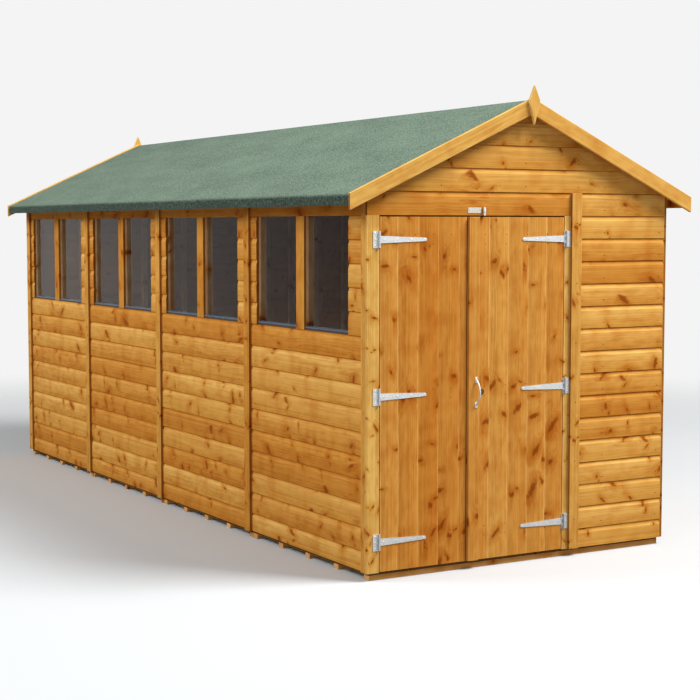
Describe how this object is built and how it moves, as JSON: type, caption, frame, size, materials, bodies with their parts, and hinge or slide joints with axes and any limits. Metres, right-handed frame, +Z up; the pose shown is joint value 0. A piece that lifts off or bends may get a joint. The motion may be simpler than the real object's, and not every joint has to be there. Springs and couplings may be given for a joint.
{
  "type": "wooden garden shed",
  "caption": "Apex garden shed of clad timber panels with a boarded floor, felted roof, fixed side windows and a pair of strap-hinged doors in the front gable.",
  "frame": {"origin": "on the ground under the middle of the shed's outer box", "axes": "+Z up, -Y out of the door gable, -X out of the windowed long side"},
  "size_m": [2.07, 5.042, 2.3708],
  "materials": {
    "cladding": "honey stained shiplap",
    "trim": "pale honey stained planed boards",
    "framing": "sawn softwood",
    "floor": "sawn softwood",
    "glazing": "clear sheet",
    "sill_bead": "blue-grey strip",
    "felt": "green mineral felt",
    "zinc": "bright zinc plate",
    "lock": "dark brown",
    "plate": "bare satin plate"
  },
  "bodies": {
    "shed": {"bearers": "floor", "floor_decks": "floor", "left_dado": "cladding", "left_piers": "cladding", "left_heads": "cladding", "left_glazing": "glazing", "left_sill_beads": "sill_bead", "right_cladding": "cladding", "side_studs": "framing", "side_rails": "framing", "side_plates": "framing", "front_left_post": "trim", "front_right_post": "trim", "front_gable": "cladding", "front_side_panel": "cladding", "rear_cladding": "cladding", "gable_studs": "framing", "gable_rails": "framing", "side_strips": "trim", "corner_strips": "trim", "front_strip": "trim", "rear_strip": "trim", "purlins": "framing", "roof_left": "framing", "roof_right": "framing", "eaves_fascias": "framing", "felt_left": "felt", "felt_right": "felt", "front_barges": "trim", "rear_barges": "trim", "finials": "trim", "left_hinges": "zinc", "right_hinges": "zinc", "button_screw": "zinc", "name_plate": "plate"},
    "left_door": {"left_leaf": "cladding", "left_ledges": "framing", "left_straps": "zinc"},
    "right_door": {"right_leaf": "cladding", "right_ledges": "framing", "right_straps": "zinc", "meeting_strip": "trim", "pull_handle": "zinc", "lock_rose": "lock"},
    "button": {"turn_button": "zinc"}
  },
  "joints": [
    {"name": "left_door_hinge", "type": "hinge", "parent": "shed", "child": "left_door", "pos_m": [-0.852, -2.4575, 0.9], "axis": [0, 0, -1], "range_deg": [0, 170]},
    {"name": "right_door_hinge", "type": "hinge", "parent": "shed", "child": "right_door", "pos_m": [0.251, -2.4575, 0.9], "axis": [0, 0, 1], "range_deg": [0, 150]},
    {"name": "button_turn", "type": "hinge", "parent": "shed", "child": "button", "pos_m": [-0.253, -2.457, 1.757], "axis": [0, 1, 0], "range_deg": [0, 90]}
  ]
}
